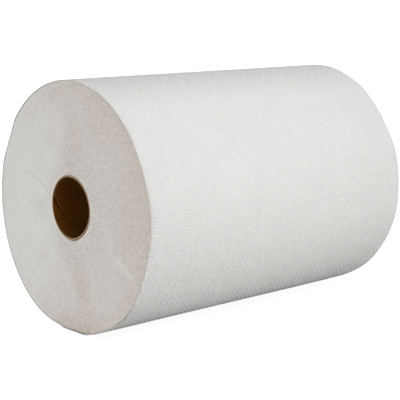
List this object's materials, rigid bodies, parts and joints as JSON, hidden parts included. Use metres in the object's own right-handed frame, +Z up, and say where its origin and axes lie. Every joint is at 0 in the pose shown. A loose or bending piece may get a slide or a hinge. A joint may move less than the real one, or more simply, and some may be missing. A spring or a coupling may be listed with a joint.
{
  "type": "paper towel roll",
  "caption": "Hard-wound roll of white embossed paper towel on a spiral-wound paperboard core, lying on its side on a small flat spot.",
  "frame": {"origin": "middle of the flat spot that the roll rests on, straight below the middle of the core", "axes": "+Y along the core from the near end to the far end, +Z up, +X across the roll"},
  "size_m": [0.144, 0.2004, 0.1434],
  "materials": {
    "towel_paper": "soft matt white crepe paper, embossed with small dots",
    "core_paperboard": "matt brown recycled paperboard"
  },
  "bodies": {
    "root": {"paper_roll": "towel_paper", "core_tube": "core_paperboard"}
  },
  "joints": []
}
